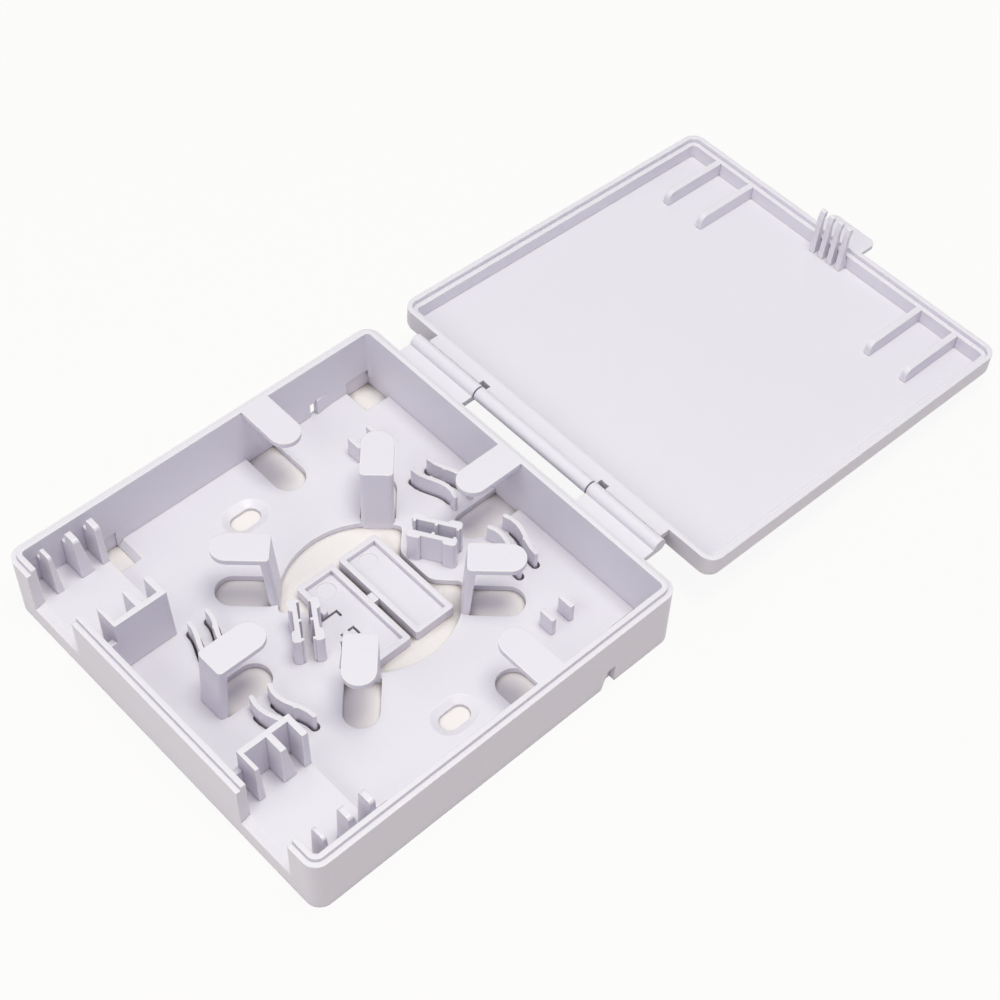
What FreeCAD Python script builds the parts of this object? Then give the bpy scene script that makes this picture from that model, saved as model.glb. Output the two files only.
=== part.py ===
"""Surface wall box for fibre outlets: an open tray with moulded cable guides, and a hinged lid.

Millimetres. The origin is the middle of the tray's flat underside. +Z points out of the wall
that the tray is screwed to, and +Y points to the hinge. The lid is modelled swung fully open.
"""
import FreeCAD
import Part
import math
import os

V = FreeCAD.Vector
X, Y, Z = V(1, 0, 0), V(0, 1, 0), V(0, 0, 1)

# Tray
WIDTH = 87.0
DEPTH = 86.2
CORNER_R = 3.0
WALL = 2.1
FLOOR = 1.5
SEAM_Z = 14.5            # parting plane of tray and lid, through the hinge axis
SEAM_GAP = 0.05          # each half stays this far from the parting plane
JOIN = 0.5               # how far a form runs into the wall or floor that carries it
RIM_STEP = 1.1           # width of the outer ledge round the rim
LIP_H = 0.9              # height of the inner lip above the ledge
SIDE = WIDTH / 2
BACK = DEPTH / 2
FRONT = -BACK
INNER_X = SIDE - WALL
INNER_BACK = BACK - WALL
INNER_FRONT = FRONT + WALL
LEDGE_Z = SEAM_Z - SEAM_GAP
LIP_Z = LEDGE_Z + LIP_H

# Round cable entry in the floor, and the spool of tongues round it
HUB_Y = 5.9
HUB_R = 17.4
TONGUE_W = 6.4
TONGUE_T = 1.2
POST_T = 1.6
POST_LEAN = 0.9          # how far a post's head stands out past the edge that its foot is set on
POST_SET = 0.2           # how far the foot stands in over that edge
POST_R = 0.8             # rounding of a post's outer corners
SPOOL_TIP_R = 29.0
SPOOL_REACH = 11.9       # from a post's foot to the tip of its tongue
SPOOL_TURN = 2.0         # the four hub tongues are turned this much from the diagonals
SLOT_MARGIN = 0.25       # a floor slot is this much larger than the tongue above it
WALL_TONGUE_Y = 12.55
WALL_TONGUE_TIP_X = 29.2
BACK_TONGUE_TIP_Y = 28.3
FRONT_TONGUE_ROOT_Y = -31.8
FRONT_TONGUE_TIP_Y = -18.8

# Screw slots: 60.3 mm apart, as in a wall box of this size
SCREW_SPACING = 60.3
SCREW_SLOT = (4.0, 6.6)
SINK_R = 3.6             # the slots are countersunk to this half width at the floor's top
SINK_DEPTH = 0.8

# Adapter bays at the two ends of the front wall
PORT_IN_X = 23.2
PORT_OUT_X = 36.6
DECK_Z = 5.0
DECK_BACK_Y = -26.65
SILL_DROP = 0.6
SILL_RUN = 1.7
FINS = ((-38.2, 0.75, 1.4), (-32.7, 1.2, 2.75), (-28.05, 1.2, 1.4))  # front face, top and foot thickness
COMB_T = 1.15
COMB_X = 17.1
COMB_TIP_X = 22.3
COMB_WEB_Z = 10.5
COMB_TAPER = 0.6         # the comb is this much longer at the floor than at its top
GRIP_TIP_X = 36.4
GRIP_LEAN = 0.5          # the grip tips stand back this much at their tops
GRIP_TIP_R = 0.8
GRIP_ROOT_X = 40.0
GRIP_WEB_Z = 12.0

# Floor windows in the corners, the wall above each set back a little
WINDOW_X = 35.2
WINDOW_ROWS = ((DECK_BACK_Y, -21.8), (34.9, INNER_BACK))
WINDOW_RECESS = 0.4
WINDOW_RECESS_Z = 4.5
WINDOW_RAMP = 1.5

# Shallow pans that stand in the cable entry
PAN_X0 = -10.0
PAN_X1 = 12.7
PAN_FLOOR = 1.3
PAN_RIM_Z = 2.5
PAN_WALL = 1.1
PAN_ROWS = ((-3.9, 4.9), (6.3, 15.5))
PAN_CORNER_R = 0.5
PAN_MARK_R = 1.95        # round ejector mark in each pan's floor
PAN_MARK_INSET = 3.5
PAN_MARK_DEPTH = 0.12
PAN_BRIDGE = (-0.1, 2.0)
PAN_TAB = (-1.5, 4.1)    # the near pan is joined to the floor between these x
PAN_SLITS = ((-1.75, -0.3), (3.1, 5.0))  # x of each slit's stroke, and where its arm ends
PAN_SLIT_W = 0.5
PAN_ARM_Y = -1.05

# Floor tabs that narrow the cable entry under the splice holders
TAB_FLAT = 10.9          # from the hub's middle to the tab's straight edge
TAB_SHIFT = 0.2
TAB_HALF = 4.35
TAB_FLARE = 9.0
TAB_ROUND = 3.2
TAB_BLEND = 0.8          # rounding where a tab meets the round edge of the entry

# Cable clips: pairs of springy leaves, (x, distance from the mirror line) along each leaf
CLIP_T = 0.9
CLIP_Z = 5.5
CLIP_SLIT = 0.5
CLIP_MIRROR_Y = 4.8
CLIP_INNER = [(4.9, 26.8), (7.0, 27.4), (9.2, 27.1), (11.5, 26.1), (15.3, 25.1)]
CLIP_OUTER = [(4.9, 30.9), (7.0, 31.35), (9.2, 31.1), (11.5, 30.2), (15.3, 29.2)]

# Holders for splice sleeves, each a pair of toothed walls
HOLDER_SPOTS = ((0.15, -15.35, -32.5), (0.2, 15.9, 32.5))  # x, y from the hub's middle, turn
HOLDER_L = 9.7
HOLDER_GAP = 2.6
HOLDER_WALL = 0.95
HOLDER_PAD = (2.7, 0.7)  # length and extra thickness of the wall's two ends
HOLDER_PAD_R = 0.65
HOLDER_TOOTH = (0.6, 0.5)
HOLDER_Z = 8.7

# Notch in the foot of each side wall: side, y of its near end, lean of its near side, and how
# much of it is open to the room. A skin with a low bulge covers the rest.
NOTCHES = ((1, 24.2, 1.4, 0.0), (-1, 25.6, 0.0, 1.5))
NOTCH_W = 3.4
NOTCH_Z = 4.9
NOTCH_SKIN = 0.8
BULGE_OUT = 0.4
BULGE_RUN = 1.5

# Guide studs near the back corners
STUD_X = (25.9, 29.2)
STUD_ROWS = (25.6, 30.3)
STUD_T = 1.0
STUD_Z = 6.0

# Hinge
HINGE_Y = BACK + 4.25
BARREL_R = 1.5
LUG_IN_X = 15.9
LUG_OUT_X = 34.1
LUG_T = 1.4
PIN_R = 0.8
PIN_CLEARANCE = 0.05
PIN_L = 3.0
KNUCKLE_X = 15.5

# Lid, measured from the hinge axis (y) and the parting plane (z), open side up
LID_DROOP = 2.7          # the open lid hangs this many degrees below level
LID_NEAR = 4.3
LID_FAR = HINGE_Y - FRONT
LID_DEPTH = 6.0
LID_SKIN = 1.7
LID_EDGE_R = 2.2
LID_LIP_W = 1.0
LID_LEDGE = 1.0 + SEAM_GAP
LID_FIN_X = (24.2, 33.9)
LID_FIN_T = 1.4
LID_FIN_NEAR = 72.2
FLANGE_X = 32.4
FLANGE_NEAR = 1.9
FLANGE_NOTCH = (15.4, 17.7, 3.05)
LATCH_PITCH = 2.4
LATCH_T = 1.2
LATCH_Z = 6.8
LATCH_CLEARANCE = 0.3    # between the hooks and the tray's front wall as the lid swings
FINGER_X = 6.0
FINGER_OUT = 4.9
FINGER_T = 1.0


def block(x0, x1, y0, y1, z0, z1):
    """Box between two corners, given in any order."""
    low = V(min(x0, x1), min(y0, y1), min(z0, z1))
    return Part.makeBox(abs(x1 - x0), abs(y1 - y0), abs(z1 - z0), low)


def fuse(shapes):
    """The shapes joined into one, without seams between flush faces."""
    return shapes[0].multiFuse(shapes[1:]).removeSplitter()


def cut(shape, tools):
    """The shape less all the tools."""
    return shape.cut(fuse(tools) if len(tools) > 1 else tools[0])


def mirrored(shape, axis):
    """The shape's mirror image across the plane through the origin that is square to an axis."""
    return shape.mirror(V(0, 0, 0), axis)


def both_sides(shapes):
    """The shapes and their mirror images across the middle plane x = 0."""
    return shapes + [mirrored(s, X) for s in shapes]


def upright_edges(shape):
    """The vertical edges of a prism."""
    def is_upright(edge):
        a, b = [v.Point for v in edge.Vertexes]
        return math.hypot(a.x - b.x, a.y - b.y) < 1e-6
    return [e for e in shape.Edges if len(e.Vertexes) == 2 and is_upright(e)]


def rounded_block(x, y0, y1, z0, z1, radius):
    """Box between -x and x with rounded upright corners."""
    solid = block(-x, x, y0, y1, z0, z1)
    return solid.makeFillet(radius, upright_edges(solid))


def prism(axis, points, low, high):
    """Prism along an axis from low to high. The outline's points give the other two coordinates."""
    u, v = [other for other in (X, Y, Z) if other != axis]
    wire = Part.makePolygon([u * a + v * b + axis * low for a, b in points + points[:1]])
    return Part.Face(wire).extrude(axis * (high - low))


def turned(shape, degrees, x, y):
    """The shape turned about the upright axis through the origin, then moved to (x, y)."""
    moved = shape.copy()
    moved.rotate(V(0, 0, 0), Z, degrees)
    moved.translate(V(x, y, 0))
    return moved


def oblong(width, length, z0, z1):
    """Upright prism with round ends, centred on the origin, its length along Y."""
    half = (length - width) / 2
    ends = [Part.makeCylinder(width / 2, z1 - z0, V(0, y, z0)) for y in (-half, half)]
    return fuse([block(-width / 2, width / 2, -half, half, z0, z1)] + ends)


def tongue_plan(root, tip, width, z0, z1):
    """Upright prism from x = root to a round tip at x = tip."""
    centre = tip - width / 2
    return fuse([block(root, centre, -width / 2, width / 2, z0, z1),
                 Part.makeCylinder(width / 2, z1 - z0, V(centre, 0, z0))])


def ribbon(points, thickness, z0, z1):
    """Upright curved leaf along a smooth line through (x, y) points, with round ends."""
    curve = Part.BSplineCurve()
    curve.interpolate([V(x, y, z0) for x, y in points])
    steps = 7
    length = curve.LastParameter - curve.FirstParameter
    left, right = [], []
    for i in range(steps + 1):
        u = curve.FirstParameter + length * i / steps
        p, t = curve.value(u), curve.tangent(u)[0]
        side = V(-t.y, t.x, 0) * (thickness / 2)
        left.append(p + side)
        right.append(p - side)
    plan = Part.Face(Part.makePolygon(left + right[::-1] + left[:1]))
    leaf = plan.extrude(V(0, 0, z1 - z0))
    ends = [Part.makeCylinder(thickness / 2, z1 - z0, V(x, y, z0)) for x, y in (points[0], points[-1])]
    return fuse([leaf] + ends)


# ---------------------------------------------------------------- tray

def tray_shell():
    """Floor and walls, with an outer ledge and an inner lip round the rim."""
    outer = rounded_block(SIDE, FRONT, BACK, 0, LEDGE_Z, CORNER_R)
    lip = rounded_block(SIDE - RIM_STEP, FRONT + RIM_STEP, BACK - RIM_STEP,
                        FLOOR, LIP_Z, CORNER_R - RIM_STEP)
    room = rounded_block(INNER_X, INNER_FRONT, INNER_BACK, FLOOR, LIP_Z + 1, CORNER_R - WALL)
    return fuse([outer, lip]).cut(room)


def floor_tab():
    """Upright prism over a floor tab on the +Y side of a hub at the origin."""
    outline = [(-TAB_HALF, TAB_FLAT), (TAB_HALF, TAB_FLAT),
               (TAB_HALF + TAB_FLARE, TAB_FLAT + TAB_FLARE), (-TAB_HALF - TAB_FLARE, TAB_FLAT + TAB_FLARE)]
    tab = prism(Z, outline, -2, FLOOR + 2)
    corners = [e for e in upright_edges(tab) if e.Vertexes[0].Y < TAB_FLAT + 0.01]
    return turned(tab.makeFillet(TAB_ROUND, corners), 0, TAB_SHIFT, 0)


def hub_hole():
    """Round cable entry, narrowed by a tab of floor under each splice holder."""
    hole = Part.makeCylinder(HUB_R, FLOOR + 2, V(0, 0, -1))
    hole = cut(hole, [floor_tab(), mirrored(floor_tab(), Y)])
    meets = [e for e in upright_edges(hole)
             if abs(math.hypot(e.Vertexes[0].X, e.Vertexes[0].Y) - HUB_R) < 0.01]
    return turned(hole.makeFillet(TAB_BLEND, meets), 0, 0, HUB_Y)


def pan(y0, y1):
    """Shallow pan with a raised rim and a round ejector mark in its floor."""
    solid = block(PAN_X0, PAN_X1, y0, y1, 0, PAN_RIM_Z)
    solid = solid.makeFillet(PAN_CORNER_R, upright_edges(solid))
    hollow = block(PAN_X0 + PAN_WALL, PAN_X1 - PAN_WALL, y0 + PAN_WALL, y1 - PAN_WALL,
                   PAN_FLOOR, PAN_RIM_Z + 1)
    middle = V(PAN_X0 + PAN_MARK_INSET, (y0 + y1) / 2, PAN_FLOOR - PAN_MARK_DEPTH)
    return cut(solid, [hollow, Part.makeCylinder(PAN_MARK_R, 1, middle)])


def pans():
    """Two pans side by side, one bridge between them, and a break-out tab to the floor."""
    near, far = PAN_ROWS
    bridge = block(*PAN_BRIDGE, near[1] - JOIN, far[0] + JOIN, 0, PAN_RIM_Z - 0.2)
    tab_y = HUB_Y - TAB_FLAT - 0.1
    tab = block(*PAN_TAB, tab_y, near[0] + PAN_WALL + 0.2, 0, PAN_FLOOR)
    rim_break = block(PAN_SLITS[0][0], PAN_SLITS[1][0], tab_y, near[0] + PAN_WALL,
                      PAN_FLOOR, PAN_RIM_Z + 1)
    half = PAN_SLIT_W / 2
    slits = []
    for x, arm_x in PAN_SLITS:
        slits.append(block(x - half, x + half, near[0] - 0.1, PAN_ARM_Y + half, -1, PAN_RIM_Z + 1))
        slits.append(block(x - half, arm_x, PAN_ARM_Y - half, PAN_ARM_Y + half, -1, PAN_RIM_Z + 1))
    return cut(fuse([pan(*near), pan(*far), bridge, tab]), [rim_break] + slits)


def post_tongue(tip):
    """Leaning post with a tongue on its head. The post's foot is at x = 0, the tip at x = tip."""
    low = LIP_Z - TONGUE_T
    side = [(-POST_SET, 0), (POST_LEAN, LIP_Z), (tip, LIP_Z), (tip, low),
            (POST_LEAN + POST_T, low), (POST_T - POST_SET, 0)]
    profile = prism(Y, side, -TONGUE_W / 2, TONGUE_W / 2)
    post = profile.common(tongue_plan(-1, tip, TONGUE_W, -1, LIP_Z + 1))
    outer = [e for e in post.Edges if e.BoundBox.ZLength > LIP_Z - 0.1 and e.BoundBox.XMax < POST_T]
    return post.makeFillet(POST_R, outer)


def floor_slot(root, tip):
    """Slot through the floor under a tongue."""
    return tongue_plan(root, tip + SLOT_MARGIN, TONGUE_W + 2 * SLOT_MARGIN, -1, FLOOR + 1)


def post_and_slot(tip, degrees, x, y):
    """A post with its tongue, and the floor slot under the tongue, set at (x, y)."""
    slot = floor_slot(POST_T - POST_SET, tip)
    return [turned(shape, degrees, x, y) for shape in (post_tongue(tip), slot)]


def spool():
    """Posts and tongues that cable is coiled round, and the slots under the tongues."""
    foot_r = SPOOL_TIP_R - SPOOL_REACH
    pairs = []
    for k in range(4):
        place = 45 + 90 * k
        x = foot_r * math.cos(math.radians(place))
        y = foot_r * math.sin(math.radians(place))
        pairs.append(post_and_slot(SPOOL_REACH, place + SPOOL_TURN, x, HUB_Y + y))
    pairs.append(post_and_slot(FRONT_TONGUE_TIP_Y - FRONT_TONGUE_ROOT_Y, 90, 0, FRONT_TONGUE_ROOT_Y))
    return [post for post, _ in pairs], [slot for _, slot in pairs]


def wall_tongues():
    """Tongues that stand out from the side walls and the back wall at rim height."""
    side_l = INNER_X + JOIN - WALL_TONGUE_TIP_X
    back_l = INNER_BACK + JOIN - BACK_TONGUE_TIP_Y
    side = [tongue_plan(0, side_l, TONGUE_W, LIP_Z - TONGUE_T, LIP_Z), floor_slot(JOIN, side_l)]
    back = [tongue_plan(0, back_l, TONGUE_W, LIP_Z - TONGUE_T, LIP_Z), floor_slot(JOIN, back_l)]
    tongues, slots = [
        both_sides([turned(s, 180, INNER_X + JOIN, WALL_TONGUE_Y)]) + [turned(b, -90, 0, INNER_BACK + JOIN)]
        for s, b in zip(side, back)]
    return tongues, slots


def screw_slot():
    """Oblong screw hole along Y, countersunk from above."""
    width, length = SCREW_SLOT
    half = (length - width) / 2
    low, high = FLOOR - SINK_DEPTH, FLOOR + SINK_DEPTH
    wide = 2 * SINK_R - width / 2
    funnel = prism(Y, [(-width / 2, low), (width / 2, low), (wide, high), (-wide, high)], -half, half)
    ends = [Part.makeCone(width / 2, wide, high - low, V(0, y, low)) for y in (-half, half)]
    return fuse([oblong(width, length, -1, FLOOR), funnel] + ends)


def screw_slots():
    """The two screw holes in the tray's floor."""
    return [turned(screw_slot(), 0, x, 0) for x in (-SCREW_SPACING / 2, SCREW_SPACING / 2)]


def fin_sides(front, top_t, foot_t):
    """Outline of a fin in (y, z): an upright front face, the back face sloping out to the foot."""
    return [(front, DECK_Z - JOIN), (front, LIP_Z), (front + top_t, LIP_Z),
            (front + foot_t, DECK_Z), (front + foot_t, DECK_Z - JOIN)]


def grip_plan():
    """Outline of the grip fins in (x, z): a leaning, rounded tip and a lower web to the wall."""
    outline = [(GRIP_TIP_X, 0), (GRIP_TIP_X, DECK_Z), (GRIP_TIP_X + GRIP_LEAN, LIP_Z),
               (GRIP_ROOT_X, LIP_Z), (GRIP_ROOT_X, GRIP_WEB_Z), (INNER_X + JOIN, GRIP_WEB_Z),
               (INNER_X + JOIN, 0)]
    plan = prism(Y, outline, FRONT, 0)
    tips = [e for e in plan.Edges if e.BoundBox.ZMin > LIP_Z - 0.01 and e.BoundBox.XLength < 0.01]
    return plan.makeFillet(GRIP_TIP_R, tips)


def adapter_bay():
    """Deck, comb and grip fins of the right-hand bay."""
    low = FLOOR - JOIN
    comb_y = FINS[0][0]
    end_y = FINS[-1][0] + FINS[-1][1]
    comb = [(comb_y, low), (comb_y, LIP_Z), (end_y, LIP_Z), (end_y + COMB_TAPER, low)]
    parts = [block(COMB_X, INNER_X + JOIN, FRONT + JOIN, DECK_BACK_Y, low, DECK_Z),
             prism(X, comb, COMB_X, COMB_X + COMB_T),
             block(COMB_X, COMB_X + COMB_T, FRONT + JOIN, comb_y + JOIN, low, COMB_WEB_Z)]
    for fin in FINS:
        parts.append(prism(X, fin_sides(*fin), COMB_X, COMB_TIP_X))
        parts.append(prism(X, fin_sides(*fin), GRIP_TIP_X, INNER_X + JOIN).common(grip_plan()))
    return parts


def port_cut():
    """Opening in the front wall for an adapter, with a sill that slopes outward."""
    opening = block(PORT_IN_X, PORT_OUT_X, FRONT - 1, INNER_FRONT, DECK_Z, LIP_Z + 1)
    slope = [(FRONT - 1, DECK_Z + 1), (FRONT - 1, DECK_Z - SILL_DROP),
             (FRONT, DECK_Z - SILL_DROP), (FRONT + SILL_RUN, DECK_Z), (FRONT + SILL_RUN, DECK_Z + 1)]
    return [opening, prism(X, slope, PORT_IN_X, PORT_OUT_X)]


def corner_windows():
    """Floor windows by the right-hand wall, with a shallow recess in the wall above each."""
    tools = []
    for y0, y1 in WINDOW_ROWS:
        tools.append(block(WINDOW_X, INNER_X, y0, y1, -1, FLOOR + 1))
        tools.append(block(INNER_X - 0.1, INNER_X + WINDOW_RECESS, y0, y1, -1, WINDOW_RECESS_Z))
    foot = WINDOW_ROWS[0][1] - 0.1
    ramp = [(foot, -0.1), (foot, FLOOR + 0.1), (foot + WINDOW_RAMP, FLOOR + 0.1)]
    tools.append(prism(X, ramp, WINDOW_X, INNER_X))
    return tools


def wall_notches():
    """A notch in the foot of each side wall, and the low bulge inside that covers it."""
    bulges, notches = [], []
    for side, near, lean, slit_w in NOTCHES:
        far = near + NOTCH_W
        arch = [(near, -1), (near, 0), (near + lean, NOTCH_Z), (far, NOTCH_Z), (far, -1)]
        notch = prism(X, arch, INNER_X + NOTCH_SKIN, SIDE + 1)
        if slit_w:
            slit = block(INNER_X - 1, SIDE, near, near + slit_w, FLOOR, NOTCH_Z)
            notch = fuse([notch, slit])
        start, end = near + slit_w, far + BULGE_RUN
        plan = [(INNER_X + JOIN, start), (INNER_X - BULGE_OUT, start), (INNER_X, end), (INNER_X + JOIN, end)]
        bulge = prism(Z, plan, FLOOR - JOIN, NOTCH_Z + JOIN)
        bulges.append(bulge if side > 0 else mirrored(bulge, X))
        notches.append(notch if side > 0 else mirrored(notch, X))
    return bulges, notches


def guide_studs():
    """Short upright tabs near the back corners, two on the right-hand side."""
    return [block(*STUD_X, y - STUD_T / 2, y + STUD_T / 2, FLOOR - JOIN, STUD_Z) for y in STUD_ROWS]


def clip_leaves():
    """Right-hand clips: the leaves and the slits round them.

    A leaf is fixed to the floor at its inner end only. A slit round the rest lets it spring.
    """
    leaves, slits = [], []
    for line, bump in ((CLIP_INNER, 1), (CLIP_OUTER, -1)):
        x, y = line[3]
        knob = Part.makeCylinder(CLIP_T / 2, CLIP_Z, V(x, y + bump * CLIP_T / 4, 0))
        leaf = fuse([ribbon(line, CLIP_T, 0, CLIP_Z), knob])
        slit = ribbon(line[1:], CLIP_T + 2 * CLIP_SLIT, -1, FLOOR + 1)
        for made, shape in ((leaves, leaf), (slits, slit)):
            made += [turned(s, 0, 0, CLIP_MIRROR_Y) for s in (shape, mirrored(shape, Y))]
    return leaves, slits


def holder_wall():
    """One toothed wall of a splice holder, along X, on the +Y side of the sleeve's line."""
    inner = HOLDER_GAP / 2
    outer = inner + HOLDER_WALL
    half = HOLDER_L / 2
    pad_l, pad_t = HOLDER_PAD
    tooth_w, reach = HOLDER_TOOTH
    low = FLOOR - JOIN
    parts = [block(-half + JOIN, half - JOIN, inner, outer, low, HOLDER_Z)]
    for side in (-1, 1):
        pad = block(side * (half - pad_l), side * half, inner, outer + pad_t, low, HOLDER_Z)
        corners = [e for e in upright_edges(pad) if e.BoundBox.YMin > outer]
        parts.append(pad.makeFillet(HOLDER_PAD_R, corners))
    for u in (-half + tooth_w, 0, half - tooth_w):
        parts.append(block(u - tooth_w / 2, u + tooth_w / 2, inner - reach, inner + 0.1, low, HOLDER_Z))
    return fuse(parts)


def holders():
    """The two splice holders, each two walls with teeth that grip a sleeve laid between them."""
    return [turned(wall, turn, x, HUB_Y + y) for x, y, turn in HOLDER_SPOTS
            for wall in (holder_wall(), mirrored(holder_wall(), Y))]


def hinge_lugs():
    """Right-hand lug: a plate level with the ledge, and half of the barrel."""
    plate = block(LUG_IN_X, LUG_OUT_X, BACK - 1, HINGE_Y, LEDGE_Z - LUG_T, LEDGE_Z)
    barrel = Part.makeCylinder(BARREL_R, LUG_OUT_X - LUG_IN_X, V(LUG_IN_X, HINGE_Y, SEAM_Z), X)
    bore = Part.makeCylinder(PIN_R + PIN_CLEARANCE, PIN_L + 1, V(LUG_IN_X - 0.5, HINGE_Y, SEAM_Z), X)
    return fuse([plate, barrel]).cut(bore)


def build_base():
    """The tray, one moulding."""
    tongues, slots = spool()
    side_tongues, side_slots = wall_tongues()
    bulges, notches = wall_notches()
    leaves, slits = clip_leaves()
    body = fuse([tray_shell()] + both_sides([hinge_lugs()] + adapter_bay()) + bulges)
    body = cut(body, [hub_hole()] + slots + side_slots + screw_slots() + notches
               + both_sides(port_cut() + corner_windows() + slits))
    additions = tongues + side_tongues + holders() + both_sides(guide_studs() + leaves)
    return fuse([body, pans()] + additions)


# ---------------------------------------------------------------- lid

def lid_shell():
    """Shallow lid with rounded outer edges and a stepped rim that takes the tray's lip."""
    solid = rounded_block(SIDE, LID_NEAR, LID_FAR, -LID_DEPTH, -SEAM_GAP, CORNER_R)
    bottom = [e for e in solid.Edges if e.BoundBox.ZMax < -LID_DEPTH + 0.01]
    solid = solid.makeFillet(LID_EDGE_R, bottom)
    room = rounded_block(INNER_X, LID_NEAR + WALL, LID_FAR - WALL, LID_SKIN - LID_DEPTH, 1, CORNER_R - WALL)
    step = rounded_block(SIDE - LID_LIP_W, LID_NEAR + LID_LIP_W, LID_FAR - LID_LIP_W,
                         -LID_LEDGE, 1, CORNER_R - LID_LIP_W)
    return cut(solid, [room, step])


def lid_fins():
    """Fins that hold the adapters down, square to the far wall."""
    fins = []
    for x in LID_FIN_X:
        fin = block(x - LID_FIN_T / 2, x + LID_FIN_T / 2, LID_FIN_NEAR, LID_FAR - WALL + 0.3,
                    LID_SKIN - LID_DEPTH - 0.3, -LID_LEDGE)
        near_top = [e for e in fin.Edges
                    if e.BoundBox.YMax < LID_FIN_NEAR + 0.01 and e.BoundBox.ZMin > -LID_LEDGE - 0.01]
        fins.append(fin.makeFillet(1.6, near_top))
    return both_sides(fins)


def latch():
    """Four upright ribs with hooked tips behind the far wall, and the finger tab outside it."""
    swing = LID_FAR - WALL - LATCH_CLEARANCE
    root = LID_SKIN - LID_DEPTH - 0.3
    hook_z = LATCH_Z - 1.2
    tip_y = math.sqrt(swing ** 2 - LATCH_Z ** 2)
    hook_y = math.sqrt(swing ** 2 - hook_z ** 2)
    rib = [(swing - 1.9, root), (swing - 1.5, LATCH_Z - 1.6), (tip_y - 0.8, LATCH_Z), (tip_y, LATCH_Z),
           (hook_y, hook_z), (hook_y - 0.55, hook_z - 0.6), (swing - 0.3, -1.6),
           (swing + 0.6, -2.2), (swing + 0.6, root)]
    parts = []
    for k in range(4):
        x = (k - 1.5) * LATCH_PITCH - LATCH_T / 2
        parts.append(prism(X, rib, x, x + LATCH_T))
    tab = block(-FINGER_X, FINGER_X, LID_FAR - 0.5, LID_FAR + FINGER_OUT, -SEAM_GAP - FINGER_T, -SEAM_GAP)
    outer = [e for e in upright_edges(tab) if e.BoundBox.YMin > LID_FAR]
    parts.append(tab.makeFillet(1.5, outer))
    return parts


def lid_hinge():
    """Flange along the lid's near wall, the middle knuckle and its two stub pins."""
    flange = block(-FLANGE_X, FLANGE_X, FLANGE_NEAR, LID_NEAR + 0.5, -SEAM_GAP - LUG_T, -SEAM_GAP)
    x0, x1, y1 = FLANGE_NOTCH
    flange = cut(flange, both_sides([block(x0, x1, 0, y1, -5, 1)]))
    web = block(-KNUCKLE_X, KNUCKLE_X, 0, LID_NEAR + 0.5, -SEAM_GAP - LUG_T, -SEAM_GAP)
    knuckle = Part.makeCylinder(BARREL_R, 2 * KNUCKLE_X, V(-KNUCKLE_X, 0, 0), X)
    half = LUG_IN_X + PIN_L
    pins = Part.makeCylinder(PIN_R, 2 * half, V(-half, 0, 0), X)
    return [flange, web, knuckle, pins]


def build_lid():
    """The lid, one moulding, swung open about the hinge."""
    lid = fuse([lid_shell()] + lid_fins() + latch() + lid_hinge())
    lid.rotate(V(0, 0, 0), X, -LID_DROOP)
    lid.translate(V(0, HINGE_Y, SEAM_Z))
    return lid


os.makedirs("parts", exist_ok=True)
for name, shape in (("base", build_base()), ("lid", build_lid())):
    solid, = shape.Solids
    solid.exportStep(f"parts/{name}.step")
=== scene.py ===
import math

import bpy
from mathutils import Matrix, Vector


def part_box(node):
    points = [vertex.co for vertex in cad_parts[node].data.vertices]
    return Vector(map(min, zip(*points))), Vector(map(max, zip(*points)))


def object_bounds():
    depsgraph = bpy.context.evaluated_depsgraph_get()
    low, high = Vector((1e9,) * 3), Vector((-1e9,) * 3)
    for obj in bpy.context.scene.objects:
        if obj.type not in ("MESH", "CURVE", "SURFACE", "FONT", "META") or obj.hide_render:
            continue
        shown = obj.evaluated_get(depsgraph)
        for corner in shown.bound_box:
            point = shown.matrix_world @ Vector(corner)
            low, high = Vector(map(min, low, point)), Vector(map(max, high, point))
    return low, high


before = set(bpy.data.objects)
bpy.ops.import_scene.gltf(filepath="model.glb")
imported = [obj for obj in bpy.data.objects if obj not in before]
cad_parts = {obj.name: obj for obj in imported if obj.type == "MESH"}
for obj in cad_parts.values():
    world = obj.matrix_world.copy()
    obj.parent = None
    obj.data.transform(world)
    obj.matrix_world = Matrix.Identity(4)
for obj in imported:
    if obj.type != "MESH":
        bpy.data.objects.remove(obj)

cad_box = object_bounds()
LOW, HIGH = cad_box
MIDDLE = (LOW + HIGH) / 2
TRAY_LOW, TRAY_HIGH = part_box("base")

# Lengths are in metres and camera angles in degrees.
# Camera: the photograph's angle. It stands in front and to the right of the box, high up.
AZIMUTH = 41.47
ELEVATION = 54.34
ROLL = 5.6
CAMERA_AT = Vector((0.17006, -0.1290, 0.30779))
LENS = 71.41
SHIFT = (-0.0747, 0.0895)

# Plastic: a cool white ABS that looks lilac where light reaches it by way of its own faces
PLASTIC = (0.765, 0.742, 0.815)
PLASTIC_DEEP = (0.73, 0.70, 0.79)
# Painted highlight: a paler colour laid on open convex edges, for the light their rounding catches
PLASTIC_PAINTED_HIGHLIGHT = (0.985, 0.975, 0.99)
# Painted shade: a darker colour laid in creases and concave corners where shade falls
PLASTIC_PAINTED_CREASE_SHADE = (0.45, 0.40, 0.49)
PLASTIC_ROUGHNESS = (0.31, 0.43)
PLASTIC_IOR = 1.53
GLOW_SHARE = 0.12                        # how much light goes into the plastic and out again
GLOW_DEPTH = (0.0009, 0.0008, 0.0010)
EDGE_R = 0.00038
HIGHLIGHT_EDGE_TURN = (0.92, 0.99)                 # cosine of the turn of the softened normal, edge to flat, for the painted highlight
HIGHLIGHT_EDGE_OPEN = (0.65, 0.9)                  # only edges this open to the sky get the painted highlight
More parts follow.
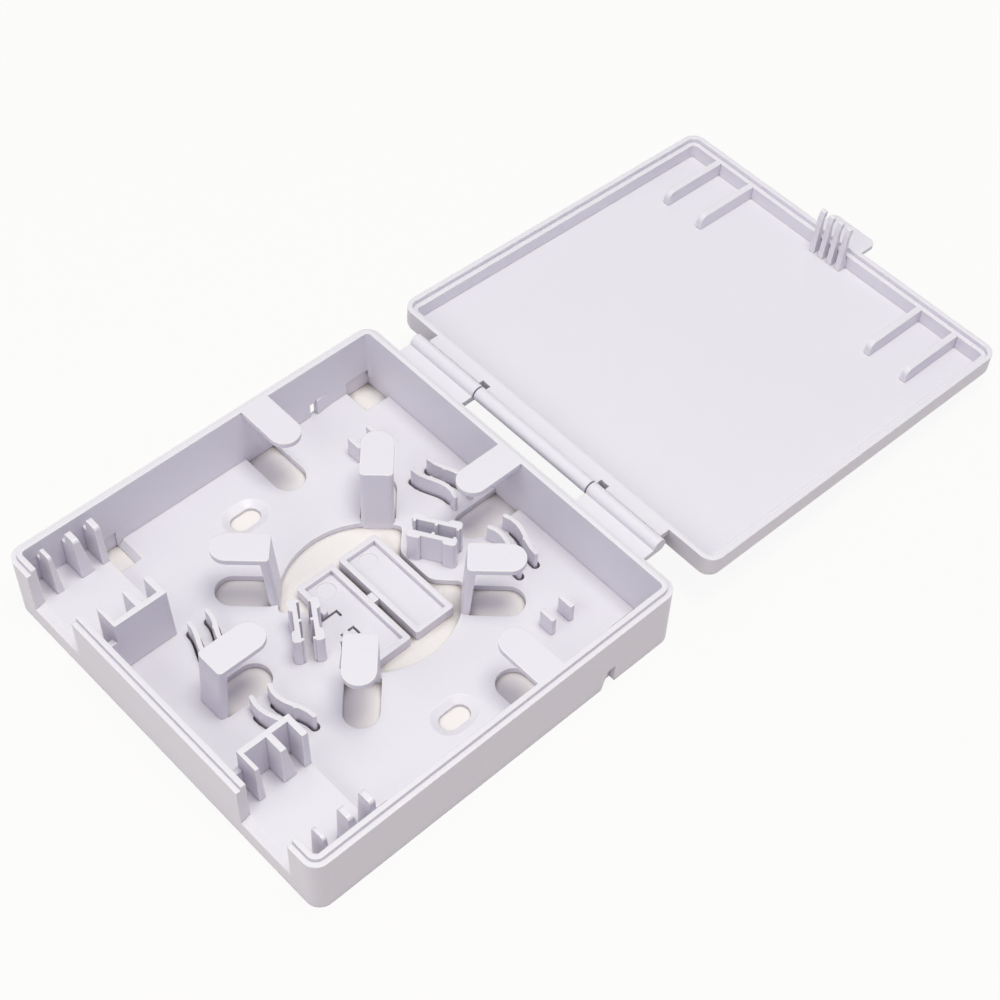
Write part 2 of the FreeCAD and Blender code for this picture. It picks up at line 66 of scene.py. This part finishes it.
# Painted crease shade: reach of the openness test (it also limits the painted highlight), openness
# range and strength
PAINTED_SHADE_AND_HIGHLIGHT_REACH = 0.0007
PAINTED_CREASE_SHADE_OPEN = (0.35, 0.75)
PAINTED_CREASE_SHADE_DEPTH = 0.75
FLOW_SCALE = 22.0                        # broad shading from the flow in the mould
CLOUD_SCALE = 140.0
GRAIN_SCALE = 4200.0

# Table: shows through the tray's openings, and round the tray as a white ground
TRAY_CORNER_R = 0.003
FOOT_HIDDEN = 0.0015                     # width of the table's edge strip that the walls stand on
TABLE = (0.85, 0.81, 0.825)
TABLE_SPECK = 0.96
TABLE_SPECK_SCALE = 900.0
# Painted shade: a dark colour laid on the table close to the tray's walls and edges
TABLE_SHADE = (0.20, 0.165, 0.155)
TABLE_AROUND = (0.66, 0.61, 0.56)
# Reach and openness range of the table's painted shade
SHADE_REACH = 0.004
SHADE_OPEN = (0.27, 0.62)
AROUND_LIFT = 0.92                       # share of plain white in what is seen of the ground
TABLE_HALF = 6.0

# Light
WHITE = (1, 1, 1)
SKY = (0.88, 0.86, 1.0)
SKY_STRENGTH = 0.44
KEY_LIGHT = (0.985, 1.0, 0.85)
FILL_LIGHT = (0.985, 1.0, 0.88)


def add_camera():
    a, e, r = (math.radians(v) for v in (AZIMUTH, ELEVATION, ROLL))
    back = Vector((math.sin(a) * math.cos(e), -math.cos(a) * math.cos(e), math.sin(e)))
    level = Vector((math.cos(a), math.sin(a), 0))
    steep = back.cross(level)
    right = level * math.cos(r) + steep * math.sin(r)
    up = steep * math.cos(r) - level * math.sin(r)
    data = bpy.data.cameras.new("camera")
    data.sensor_width = 36
    data.lens = LENS
    data.shift_x, data.shift_y = SHIFT
    data.clip_start, data.clip_end = 0.01, 20
    camera = bpy.data.objects.new("camera", data)
    bpy.context.scene.collection.objects.link(camera)
    axes = Matrix((right, up, back)).transposed().to_4x4()
    camera.matrix_world = Matrix.Translation(CAMERA_AT) @ axes
    bpy.context.scene.camera = camera


class Nodes:
    """Short calls for building one node tree."""

    def __init__(self, tree):
        self.tree = tree
        tree.nodes.clear()

    def add(self, kind, settings=None, **inputs):
        node = self.tree.nodes.new(kind)
        for key, value in (settings or {}).items():
            setattr(node, key, value)
        for key, value in inputs.items():
            self.put(node, key.replace("_", " "), value)
        return node

    def put(self, node, name, value):
        """Links or sets one input, given by its name, or by its place as n0, n1 and so on."""
        by_place = name[0] == "n" and name[1:].isdigit()
        socket = node.inputs[int(name[1:]) if by_place else name]
        if isinstance(value, bpy.types.NodeSocket):
            self.tree.links.new(value, socket)
        elif isinstance(value, tuple) and len(value) == 3 and socket.type == "RGBA":
            socket.default_value = (*value, 1)
        else:
            socket.default_value = value

    def maths(self, operation, first, second=0.0):
        return self.add("ShaderNodeMath", {"operation": operation}, n0=first, n1=second).outputs[0]

    def noise(self, where, scale, detail=3.0, roughness=0.55):
        node = self.add("ShaderNodeTexNoise", Vector=where, Scale=scale, Detail=detail,
                        Roughness=roughness)
        return node.outputs["Fac"]

    def openness(self, reach):
        """1 on an open face, less within reach of a fold or a neighbour."""
        node = self.add("ShaderNodeAmbientOcclusion", {"samples": 8}, Distance=reach)
        return node.outputs["AO"]

    def seen(self):
        """1 for the rays that show a surface, straight, mirrored or through glass, else 0."""
        rays = self.add("ShaderNodeLightPath")
        mask = self.maths("MAXIMUM", rays.outputs["Is Camera Ray"], rays.outputs["Is Glossy Ray"])
        return self.maths("MAXIMUM", mask, rays.outputs["Is Transmission Ray"])

    def blend(self, factor, first, second):
        node = self.add("ShaderNodeMix", {"data_type": "RGBA"}, n0=factor, n6=first, n7=second)
        return node.outputs[2]

    def span(self, value, low, high, start=0.0, end=1.0):
        """Low where the value is at or below start, high at or above end, even between."""
        node = self.add("ShaderNodeMapRange", n0=value, n1=start, n2=end, n3=low, n4=high)
        return node.outputs[0]


def moulded_plastic():
    """White ABS from the mould: faint flow shading, fine grain, a painted highlight on edges and
    painted shade in creases.
    """
    material = bpy.data.materials.new("abs_white")
    material.use_nodes = True
    n = Nodes(material.node_tree)
    place = n.add("ShaderNodeTexCoord").outputs["Object"]
    flow = n.noise(place, FLOW_SCALE, 2.0)
    cloud = n.noise(place, CLOUD_SCALE, 4.0, 0.6)
    grain = n.noise(place, GRAIN_SCALE, 2.0, 0.5)
    tint = n.maths("ADD", n.maths("MULTIPLY", flow, 0.7), n.maths("MULTIPLY", cloud, 0.3))
    soft_edge = n.add("ShaderNodeBevel", {"samples": 6}, Radius=EDGE_R).outputs[0]
    flat = n.add("ShaderNodeNewGeometry").outputs["Normal"]
    turn = n.add("ShaderNodeVectorMath", {"operation": "DOT_PRODUCT"}, n0=soft_edge, n1=flat)
    open_sky = n.openness(PAINTED_SHADE_AND_HIGHLIGHT_REACH)
    # painted highlight: paler colour where the softened normal turns on edges open to the sky
    painted_highlight = n.maths("MULTIPLY", n.span(turn.outputs["Value"], 1.0, 0.0, *HIGHLIGHT_EDGE_TURN),
                   n.span(open_sky, 0.0, 1.0, *HIGHLIGHT_EDGE_OPEN))
    # painted shade: darker colour in creases and corners that the openness test finds closed in
    painted_crease_shade = n.span(open_sky, PAINTED_CREASE_SHADE_DEPTH, 0.0, *PAINTED_CREASE_SHADE_OPEN)
    body = n.blend(painted_crease_shade, n.blend(tint, PLASTIC_DEEP, PLASTIC), PLASTIC_PAINTED_CREASE_SHADE)
    waves = n.add("ShaderNodeBump", Strength=0.08, Distance=0.0004, Height=cloud, Normal=soft_edge)
    fine = n.add("ShaderNodeBump", Strength=0.10, Distance=0.00003, Height=grain,
                 Normal=waves.outputs[0])
    shader = n.add("ShaderNodeBsdfPrincipled", Base_Color=n.blend(painted_highlight, body, PLASTIC_PAINTED_HIGHLIGHT),
                   Roughness=n.span(cloud, *PLASTIC_ROUGHNESS), IOR=PLASTIC_IOR,
                   Normal=fine.outputs[0])
    n.put(shader, "Subsurface Weight", GLOW_SHARE)
    n.put(shader, "Subsurface Radius", GLOW_DEPTH)
    n.put(shader, "Subsurface Scale", 1.0)
    n.add("ShaderNodeOutputMaterial", Surface=shader.outputs[0])
    return material


def outside_tray(n, place):
    """1 on the ground round the tray, 0 inside its outline less the hidden strip."""
    axes = n.add("ShaderNodeSeparateXYZ", n0=place)
    past_squares = []
    for axis, half in ((axes.outputs[0], TRAY_HIGH.x), (axes.outputs[1], -TRAY_LOW.y)):
        past = n.maths("SUBTRACT", n.maths("ABSOLUTE", axis), half - TRAY_CORNER_R)
        past_squares.append(n.maths("POWER", n.maths("MAXIMUM", past, 0.0), 2.0))
    reach = n.maths("SQRT", n.maths("ADD", *past_squares))
    return n.maths("GREATER_THAN", reach, TRAY_CORNER_R - FOOT_HIDDEN)


def table_material():
    """Pale table with painted shade where the tray stands close. Round the tray it is seen nearly
    white.
    """
    material = bpy.data.materials.new("table")
    material.use_nodes = True
    n = Nodes(material.node_tree)
    place = n.add("ShaderNodeNewGeometry").outputs["Position"]
    outside = outside_tray(n, place)
    speck = n.noise(place, TABLE_SPECK_SCALE)
    pale = n.blend(speck, tuple(TABLE_SPECK * c for c in TABLE), TABLE)
    # painted shade on the table where the tray stands close
    inner = n.blend(n.span(n.openness(SHADE_REACH), 0.0, 1.0, *SHADE_OPEN), TABLE_SHADE, pale)
    matt = n.add("ShaderNodeBsdfDiffuse", Color=n.blend(outside, inner, TABLE_AROUND))
    glow = n.add("ShaderNodeEmission", Color=WHITE, Strength=1.0)
    lift = n.maths("MULTIPLY", n.seen(), n.span(outside, 0.0, AROUND_LIFT))
    mixed = n.add("ShaderNodeMixShader", n0=lift, n1=matt.outputs[0], n2=glow.outputs[0])
    n.add("ShaderNodeOutputMaterial", Surface=mixed.outputs[0])
    return material


def add_floor():
    mesh = bpy.data.meshes.new("floor")
    signs = ((-1, -1), (1, -1), (1, 1), (-1, 1))
    corners = [(MIDDLE.x + i * TABLE_HALF, MIDDLE.y + j * TABLE_HALF, LOW.z) for i, j in signs]
    mesh.from_pydata(corners, [], [(0, 1, 2, 3)])
    mesh.materials.append(table_material())
    floor = bpy.data.objects.new("floor", mesh)
    bpy.context.scene.collection.objects.link(floor)


def add_world():
    """A soft, cool sky that lights the object. What is seen of it is plain white."""
    world = bpy.data.worlds.new("studio")
    world.use_nodes = True
    n = Nodes(world.node_tree)
    light = n.add("ShaderNodeBackground", Color=SKY, Strength=SKY_STRENGTH)
    white = n.add("ShaderNodeBackground", Color=WHITE, Strength=1.0)
    mixed = n.add("ShaderNodeMixShader", n0=n.seen(), n1=light.outputs[0], n2=white.outputs[0])
    n.add("ShaderNodeOutputWorld", Surface=mixed.outputs[0])
    bpy.context.scene.world = world


def add_lamp(name, place, size, power, colour):
    """A rectangular lamp that stands at a place counted from the object's middle and faces it."""
    data = bpy.data.lights.new(name, "AREA")
    data.shape = "RECTANGLE"
    data.size, data.size_y = size
    data.energy = power
    data.color = colour
    lamp = bpy.data.objects.new(name, data)
    bpy.context.scene.collection.objects.link(lamp)
    lamp.location = MIDDLE + Vector(place)
    lamp.rotation_mode = "QUATERNION"
    lamp.rotation_quaternion = (-Vector(place)).to_track_quat("-Z", "Y")


bpy.context.scene.view_settings.view_transform = "Standard"
add_camera()
add_world()
add_floor()
add_lamp("key", (0.09, 0.02, 0.85), (0.34, 0.34), 4.4, KEY_LIGHT)
add_lamp("fill", (0.02, -0.60, 0.50), (0.6, 0.4), 1.5, FILL_LIGHT)

plastic = moulded_plastic()
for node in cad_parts.values():
    node.data.materials.clear()
    node.data.materials.append(plastic)
